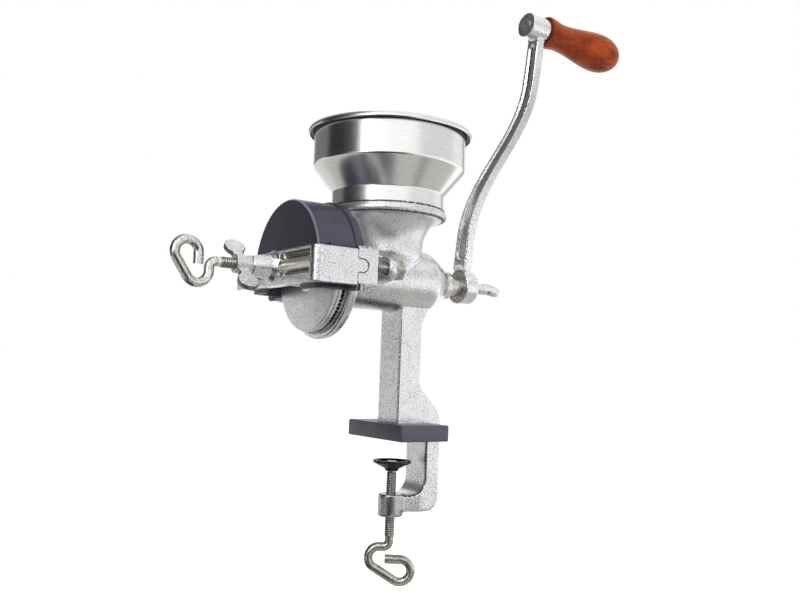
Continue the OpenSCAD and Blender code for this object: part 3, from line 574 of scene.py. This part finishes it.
# The crank: a cast S-shaped arm of tinned iron, rounded along its edges. Its hub and boss are
# machined where they meet the shaft and the grip's pin, and the arm's colour is darker in a band
# along its middle.
CRANK_LEAN = math.radians(8)
GRIP_DROOP = math.radians(3)
CRANK_L = 252.5
HUB_FACE = 80.3 + HOPPER_Y
BOSS_OUT = 56.0
BOSS_HALF = 11.5
FLAT_FACING = 0.8
ARM_FROM, ARM_TO = 17, 240
ARM_ROUNDING = 22
DULL_START, DULL_FULL, DULL_FADE, DULL_END = 170.0, 270.0, 300.0, 355.0
shaft_point = Vector((0, 0, SHAFT_Z))
spoke = Vector((math.sin(CRANK_LEAN), 0, math.cos(CRANK_LEAN)))
grip_way = Vector((0, math.cos(GRIP_DROOP), 0)) - spoke * math.sin(GRIP_DROOP)
boss_end = Vector((0, HUB_FACE + BOSS_OUT, SHAFT_Z)) + spoke * CRANK_L - grip_way * BOSS_HALF

machined = Net("machined_face")
machined.set(Metallic=1.0)
turned = machined.noise(900.0, 2.0)
turned_marks = machined.ramp(turned, 0.35, 0.65)
machined.feed("Base Color", machined.tint(turned_marks, (0.20, 0.195, 0.185), (0.80, 0.79, 0.76)))
machined.vary_gloss(120.0, 0.36, 0.5)
machined.bump(turned, 0.5, 0.3)
crank_net = cast_net("tinned_smooth", (0.90, 0.90, 0.905), (0.82, 0.82, 0.825), 0.18,
                     spread=0.06, waves=0.08, pits=0.7)
height = crank_net.stations()["Z"]
# Darker colour in a band of height along the arm's middle.
dull = crank_net.work("MULTIPLY", crank_net.ramp(height, DULL_START * MM, DULL_FULL * MM),
                      crank_net.ramp(height, DULL_FADE * MM, DULL_END * MM, 1.0, 0.0))
darker_middle = crank_net.tint(dull, crank_net.source("Base Color"), (0.68, 0.68, 0.67), "MULTIPLY")
crank_net.feed("Base Color", darker_middle)


def machine_faces(piece, material, *flats):
    """Gives a material to flat faces. Each flat has a centre, a way that it looks, a radius and
    a reach along that way, in millimetres."""

    def picked(x, y, z, facing):
        for centre, way, radius, reach in flats:
            offset = Vector((x, y, z)) - centre
            along = offset.dot(way)
            out = (offset - way * along).length
            if abs(along) < reach and out < radius and facing.dot(way) > FLAT_FACING:
                return 1
        return BARE

    repaint(piece, picked, material)


crank = cast_skin(merged_copy("crank_casting", "crank"), voxel=0.7, ease=2)
arm = crank.vertex_groups.new(name="arm")
on_arm = [vertex.index for vertex in crank.data.vertices
          if ARM_FROM < (vertex.co / MM - shaft_point).dot(spoke) < ARM_TO]
arm.add(on_arm, 1.0, "REPLACE")
rounding = crank.modifiers.new("rounding", "SMOOTH")
rounding.factor = 0.5
rounding.iterations = ARM_ROUNDING
rounding.vertex_group = "arm"
settle(crank)
finish_piece(crank, "crank", "rotor", crank_net.material)
machine_faces(crank, machined.material,
              (Vector((0, HUB_FACE, SHAFT_Z)), Vector((0, -1, 0)), 15.4, 0.7),
              (boss_end, -grip_way, 11.2, 0.8))

# The wing nut: a casting of tinned iron with two round paddles, which jams the adjusting screw.
# The paddles' rims carry painted shade for the dark reflections along them.
WING_HUB_R = 10.0
RIM_FACING = 0.66
tinned_wing = cast_metal("tinned_wing", (0.93, 0.925, 0.93), (0.84, 0.835, 0.84), 0.36,
                         spread=0.08, grain=0.9, pits=0.9)
# Dark tin on the paddles' rims: painted dark reflections.
wing_rim = cast_metal("wing_rim", (0.36, 0.357, 0.35), (0.24, 0.237, 0.23), 0.4, grain=0.9, pits=0.9)
wing = cast_skin(merged_copy("wing_nut", "lock_nut"), voxel=0.45, ease=2)
from_shaft = [vertex.co - shaft_point * MM for vertex in wing.data.vertices]
tip = max(from_shaft, key=lambda reach: math.hypot(reach.x, reach.z))
paddle_face = Vector((-tip.z, 0, tip.x)).normalized()


def wing_finish(x, y, z, facing):
    on_paddle = math.hypot(x, z - SHAFT_Z) > WING_HUB_R
    return int(on_paddle and abs(facing.dot(paddle_face)) < RIM_FACING)


finish_piece(wing, "lock_nut", "locker", tinned_wing)
repaint(wing, wing_finish, wing_rim)

# The hinge bolts: two forked castings of tinned iron between the yoke's arms and the body's ears.
# Each shank is drawn in where a cut thread covers it.
HINGE_X = 67.15
FORK_FRONT = ARM_END + 12.0
FORK_FACING = -0.3
ROD_R = 4.6
THREAD_R, THREAD_DEPTH, THREAD_PITCH = 4.45, 0.62, 1.5
THREAD_SIDES, RINGS_PER_TURN = 40, 7
ALONG_SHAFT = Vector((0, 1, 0))
UPRIGHT = Vector((0, 0, 1))


def thin_shank(piece, centre, along, first, last, share):
    """Draws in a shank between two stations, in millimetres, so that a thread can cover it."""
    centre = Vector(centre) * MM
    for vertex in piece.data.vertices:
        offset = vertex.co - centre
        station = offset.dot(along)
        radial = offset - along * station
        if first * MM < station < last * MM and radial.length < ROD_R * MM:
            vertex.co = centre + along * station + radial * share


def threaded_rod_group():
    """Nodes that bend a grid into a rod with a right-handed thread, closed at both ends."""
    group = bpy.data.node_groups.new("threaded_rod", "GeometryNodeTree")
    group.interface.new_socket("Geometry", in_out="OUTPUT", socket_type="NodeSocketGeometry")
    for label, kind in (("Radius", "Float"), ("Depth", "Float"), ("Pitch", "Float"), ("Length", "Float"),
                        ("Sides", "Int"), ("Rings", "Int"), ("Material", "Material")):
        group.interface.new_socket(label, in_out="INPUT", socket_type="NodeSocket" + kind)
    nodes, links = group.nodes, group.links
    given = nodes.new("NodeGroupInput").outputs

    def work(operation, *values):
        return maths(group, operation, *values)

    def step(kind, geometry, **values):
        """A node that takes the geometry and hands it on."""
        node = nodes.new("GeometryNode" + kind)
        links.new(geometry, node.inputs["Geometry"])
        for label, value in values.items():
            links.new(value, node.inputs[label])
        return node

    grid = nodes.new("GeometryNodeMeshGrid")
    links.new(work("ADD", given["Sides"], 1), grid.inputs["Vertices X"])
    links.new(work("ADD", given["Rings"], 1), grid.inputs["Vertices Y"])
    place = nodes.new("ShaderNodeSeparateXYZ")
    links.new(nodes.new("GeometryNodeInputPosition").outputs[0], place.inputs[0])
    turn = work("ADD", place.outputs["X"], 0.5)
    station = work("MULTIPLY", work("ADD", place.outputs["Y"], 0.5), given["Length"])
    phase = work("FRACT", work("SUBTRACT", work("DIVIDE", station, given["Pitch"]), turn))
    tooth = work("ABSOLUTE", work("SUBTRACT", work("MULTIPLY", phase, 2.0), 1.0))
    to_end = work("MINIMUM", station, work("SUBTRACT", given["Length"], station))
    faded = work("MINIMUM", work("DIVIDE", to_end, given["Pitch"]), 1.0)
    crest = work("MULTIPLY", work("MINIMUM", work("MULTIPLY", tooth, 1.25), 1.0), faded)
    groove = work("MULTIPLY", work("SUBTRACT", 1.0, crest), given["Depth"])
    radius = work("SUBTRACT", given["Radius"], groove)
    closed = work("MULTIPLY", radius, work("GREATER_THAN", to_end, 1e-7))
    angle = work("MULTIPLY", turn, 2 * math.pi)
    placed = nodes.new("ShaderNodeCombineXYZ")
    links.new(work("MULTIPLY", closed, work("COSINE", angle)), placed.inputs["X"])
    links.new(work("MULTIPLY", closed, work("SINE", angle)), placed.inputs["Y"])
    links.new(station, placed.inputs["Z"])
    mark = step("StoreNamedAttribute", grid.outputs["Mesh"], Value=crest)
    mark.inputs["Name"].default_value = "crest"
    bend = step("SetPosition", mark.outputs["Geometry"], Position=placed.outputs[0])
    weld = step("MergeByDistance", bend.outputs["Geometry"])
    weld.inputs["Distance"].default_value = 1e-6
    soft = step("SetShadeSmooth", weld.outputs["Geometry"])
    real = step("RealizeInstances", soft.outputs["Geometry"])
    coat = step("SetMaterial", real.outputs["Geometry"], Material=given["Material"])
    links.new(coat.outputs["Geometry"], nodes.new("NodeGroupOutput").inputs[0])
    return group


# The thread is near black in its grooves and light on its crests: painted shade in the grooves.
thread_steel = Net("thread_steel")
thread_steel.set(Metallic=1.0, Roughness=0.3)
crest = thread_steel.nodes.new("ShaderNodeAttribute")
crest.attribute_name = "crest"
groove = thread_steel.ramp(crest.outputs["Fac"], 0.35, 0.9)
thread_steel.feed("Base Color", thread_steel.tint(groove, (0.04, 0.037, 0.03), (0.64, 0.62, 0.58)))
thread_nodes = threaded_rod_group()


def threaded(name, start, way, length, body_name):
    """A threaded rod in millimetres from a start point along a direction."""
    piece = link_in(bpy.data.objects.new(name, bpy.data.meshes.new(name)))
    modifier = piece.modifiers.new("thread", "NODES")
    modifier.node_group = thread_nodes
    values = {"Radius": THREAD_R * MM, "Depth": THREAD_DEPTH * MM, "Pitch": THREAD_PITCH * MM,
              "Length": length * MM, "Sides": THREAD_SIDES,
              "Rings": int(length / THREAD_PITCH * RINGS_PER_TURN), "Material": thread_steel.material}
    for item in thread_nodes.interface.items_tree:
        if item.item_type == "SOCKET" and item.in_out == "INPUT":
            modifier[item.identifier] = values[item.name]
    settle(piece)
    turn = UPRIGHT.rotation_difference(way).to_matrix().to_4x4()
    piece.data.transform(Matrix.Translation(Vector(start) * MM) @ turn)
    rework(piece, lambda mesh: bmesh.ops.recalc_face_normals(mesh, faces=mesh.faces))
    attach(piece, body_name)
    return piece


def fork_finish(x, y, z, facing):
    return int(y < FORK_FRONT and facing.y < FORK_FACING and abs(facing.x) < SEAM_FACING)


forks = merged_copy("fork_bolts", "hinge_bolts")
for side in (-1, 1):
    thin_shank(forks, (side * HINGE_X, 0, SHAFT_Z), ALONG_SHAFT, first=-72.6, last=-40.0, share=0.86)
cast_skin(forks, voxel=0.5, ease=1)
finish_piece(forks, "hinge_bolts", "mill", tinned)
repaint(forks, fork_finish, seam_shade)
for side, name in ((-1, "far"), (1, "near")):
    threaded("hinge_thread_" + name, (side * HINGE_X, -72.0, SHAFT_Z), ALONG_SHAFT, length=26.3,
             body_name="mill")

# The burr discs, their carrier and the auger: tinned iron, ground where they work. Painted shade
# darkens toothed lines where the discs meet, and the auger's iron is bare and worn smooth.
DISC_GAP, DISC_BACK = -87.65, -91.9
DISC_TEETH = 84.0


def gap_shade_line(net, station, width, depth):
    """Paints shade in a toothed band across the shaft's axis, in millimetres."""
    across, along, height = net.stations()
    turn = net.work("ARCTAN2", across, net.work("SUBTRACT", height, SHAFT_Z * MM))
    teeth = net.work("SINE", net.work("MULTIPLY", turn, DISC_TEETH))
    reach = net.work("MULTIPLY_ADD", teeth, depth * MM, width * MM)
    from_line = net.work("ABSOLUTE", net.work("SUBTRACT", along, station * MM))
    inside = net.work("LESS_THAN", from_line, reach)
    net.feed("Base Color", net.tint(inside, net.source("Base Color"), (0.03, 0.028, 0.024)))


disc_net = cast_net("disc_iron", (0.93, 0.93, 0.94), (0.80, 0.80, 0.81), 0.36,
                    spread=0.12, waves=0.08, pits=0.85)
# Toothed dark lines where the discs meet and between the carrier and the rotating burr: painted shade.
gap_shade_line(disc_net, DISC_GAP, width=0.90, depth=0.55)
gap_shade_line(disc_net, DISC_BACK, width=0.32, depth=0.1)
for name, body_name in (("stationary_burr", "mill"), ("rotating_burr", "disc"), ("burr_carrier", "disc")):
    piece = smooth(merged_copy(name + "_iron", name))
    finish_piece(piece, name, body_name, disc_net.material)
auger_iron = cast_metal("auger_iron", (0.72, 0.69, 0.64), (0.52, 0.50, 0.46), 0.27,
                        waves=0.05, grain=0.12, pits=0.3)
auger = smooth(merged_copy("auger_iron", "auger"), angle=25.0)
finish_piece(auger, "auger", "rotor", auger_iron)

# The steel fittings: screws with loop handles, pins, nuts and washers, zinc plated and slightly
# warm in colour. Threads run over the drawn-in shanks of the two screws with loops.
FLAT_WITHIN = math.radians(0.5)
SOFT_EDGED = ("hinge_nuts", "crank_screw", "crank_washer", "hinge_pins")
FITTING_BODIES = {
    "adjusting_screw": "adjuster", "clamp_screw": "clamp", "hinge_pins": "mill", "hinge_nuts": "mill",
    "thrust_ball": "ball", "thrust_washer": "mill", "crank_washer": "crank_seat",
    "crank_screw": "crank_thumb", "grip_pin": "rotor", "grip_washer": "rotor"}


def fitting_metal(name, colour, shade, gloss):
    """Drawn steel with zinc plating: slight changes of tone, dark specks and a fine grain."""
    net = Net(name)
    net.set(Metallic=1.0)
    cloudy = net.tint(net.ramp(net.noise(70.0, 4.0), 0.38, 0.68), colour, shade)
    specks = net.ramp(net.noise(560.0, 2.0, 0.6), 0.50, 0.62, 0.0, 0.6)
    net.feed("Base Color", net.tint(specks, cloudy, times(shade, 0.5)))
    net.vary_gloss(240.0, gloss - 0.05, gloss + 0.08)
    net.bump(net.noise(700.0, 2.0), 0.35, 0.3)
    return net.material


def soften_edges(piece, width, segments, corner):
    """Rounds the edges that turn by more than a corner in degrees, by a width in millimetres."""

    def join_flats(mesh):
        bmesh.ops.dissolve_limit(mesh, angle_limit=FLAT_WITHIN, verts=mesh.verts, edges=mesh.edges)

    rework(piece, join_flats)
    soften = piece.modifiers.new("soften", "BEVEL")
    soften.width = width * MM
    soften.segments = segments
    soften.limit_method = "ANGLE"
    soften.angle_limit = math.radians(corner)
    return settle(piece)


plated = fitting_metal("plated_steel", (0.62, 0.60, 0.565), (0.41, 0.395, 0.36), 0.25)
# A lighter copy of the plating for the adjusting screw: painted light.
plated_painted_light = fitting_metal("plated_painted_light", (0.82, 0.805, 0.775), (0.60, 0.585, 0.55), 0.22)
plated_bright = fitting_metal("plated_bright", (0.86, 0.85, 0.83), (0.74, 0.73, 0.70), 0.26)
peened_end = cast_metal("peened_end", (0.85, 0.85, 0.84), (0.40, 0.40, 0.39), 0.3,
                        waves=0.5, grain=2.0, pits=1.0)
for name, body_name in FITTING_BODIES.items():
    piece = merged_copy(name + "_steel", name)
    if name == "adjusting_screw":
        thin_shank(piece, (0, 0, SHAFT_Z), ALONG_SHAFT, first=-176.6, last=-105.0, share=0.87)
    if name == "clamp_screw":
        thin_shank(piece, (0, CLAMP_SCREW_Y, 0), UPRIGHT, first=-88.3, last=-28.0, share=0.87)
    if name in SOFT_EDGED:
        soften_edges(piece, width=0.45, segments=2, corner=40)
    smooth(piece)
    zinc = {"crank_screw": plated_bright, "adjusting_screw": plated_painted_light}.get(name, plated)
    finish_piece(piece, name, body_name, zinc)
    if name == "grip_pin":
        machine_faces(piece, peened_end, (boss_end, -grip_way, 5.5, 2.5))
threaded("adjusting_thread", (0, -173.2, SHAFT_Z), ALONG_SHAFT, length=65.0,
         body_name="adjuster")
threaded("clamp_thread", (0, CLAMP_SCREW_Y, -84.5), UPRIGHT, length=55.6,
         body_name="clamp")

# The cover and the pad: slate-grey moulded plastic with a satin skin and rounded edges. The cover
# is a hood over the discs that lifts off the yoke, and the pad sits under the post's foot.
COVER_EDGE_R = 52.0
COVER_MIDDLE_Y = -100.0
LEVEL_EDGE, STEEP_EDGE = -0.86, -0.42


def moulded(name, colour, gloss):
    net = Net(name)
    net.feed("Base Color", net.tint(net.ramp(net.noise(25.0), 0.3, 0.7), colour, times(colour, 1.18)))
    net.vary_gloss(60.0, gloss - 0.04, gloss + 0.06, detail=4.0)
    net.set(Specular_IOR_Level=0.34)
    net.bump(net.noise(1500.0, 2.0), 0.16, 0.2)
    return net.material


def painted_highlight_edge(x, y, z, facing):
    on_rim = math.hypot(x, z - SHAFT_Z) > COVER_EDGE_R and z > SHAFT_Z
    return int(on_rim and y < COVER_MIDDLE_Y and LEVEL_EDGE < facing.y < STEEP_EDGE)


def plastic_piece(node, body_name, rounding, material):
    piece = soften_edges(merged_copy(node + "_plastic", node), width=rounding, segments=3, corner=50)
    return finish_piece(smooth(piece), node, body_name, material)


cover = plastic_piece("cover", "hood", 1.2, moulded("slate_plastic", (0.036, 0.037, 0.053), 0.25))
# The cover's rounded front edge gets a lighter slate: a painted highlight.
repaint(cover, painted_highlight_edge, moulded("slate_edge_highlight", (0.135, 0.139, 0.163), 0.22))
# The pad's slate is a lighter copy of the cover's: painted light on the pad.
plastic_piece("table_pad", "mill", 1.6, moulded("slate_pad_painted_light", (0.054, 0.055, 0.070), 0.32))

# The clamp's cup: pressed steel with a dark oxide finish. It sits on the clamp screw's end and
# presses on the table from below.
oxide = fitting_metal("dark_steel", (0.06, 0.06, 0.063), (0.035, 0.035, 0.04), 0.36)
cup = smooth(merged_copy("cup_steel", "clamp_cup"))
finish_piece(cup, "clamp_cup", "cup", oxide)

# The grip: hardwood turned on a lathe, stained orange-brown and varnished. It spins on the steel
# pin that is riveted in the crank's boss.
varnish = Net("varnished_wood")
varnish.set(Specular_IOR_Level=0.06, Coat_Weight=0.22, Coat_Roughness=0.10)
fibres = varnish.noise(230.0, 5.0, 0.65, varnish.stretched((1.0, 0.16, 1.0)))
clouds = varnish.noise(75.0, 4.0, 0.6, varnish.stretched((1.0, 0.5, 1.0)))
flecks = varnish.noise(1100.0, 2.0, 0.6, varnish.stretched((1.0, 0.3, 1.0)))
grain = varnish.tint(varnish.ramp(fibres, 0.32, 0.68), (0.22, 0.029, 0.004), (0.37, 0.060, 0.008))
stained = varnish.tint(varnish.ramp(clouds, 0.36, 0.66), (0.12, 0.014, 0.002), grain)
flecked = varnish.tint(varnish.ramp(flecks, 0.58, 0.74, 0.0, 0.6), stained, (0.50, 0.12, 0.02))
varnish.feed("Base Color", flecked)
varnish.feed("Roughness", varnish.ramp(fibres, 0.3, 0.7, 0.34, 0.46))
varnish.bump(fibres, 0.10, 0.3)
grip = smooth(merged_copy("grip_wood", "grip"))
finish_piece(grip, "grip", "handle", varnish.material)
